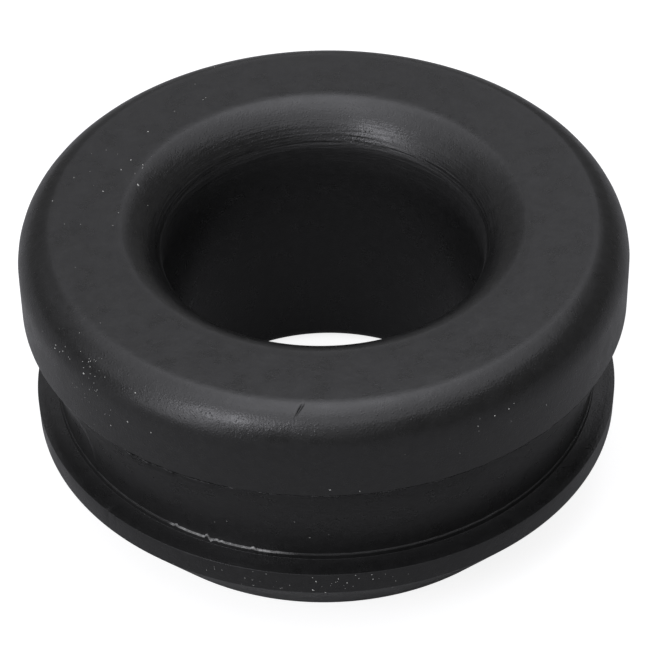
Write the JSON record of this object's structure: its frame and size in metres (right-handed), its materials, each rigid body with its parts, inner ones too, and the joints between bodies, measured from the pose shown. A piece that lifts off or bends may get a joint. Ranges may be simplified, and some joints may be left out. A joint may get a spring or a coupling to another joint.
{
  "type": "rubber grommet",
  "caption": "Black rubber push-in grommet with a thick rounded collar, a concave groove for the panel edge, a thin lip, a tapered lead-in and a flared bore.",
  "frame": {"origin": "centre of the bottom face, on the bore axis", "axes": "+Z along the bore axis, from the lead-in end towards the collar; X and Y are across it"},
  "size_m": [0.0362, 0.0362, 0.0178],
  "materials": {
    "rubber": "matt moulded black"
  },
  "bodies": {
    "root": {"grommet": "rubber"}
  },
  "joints": []
}
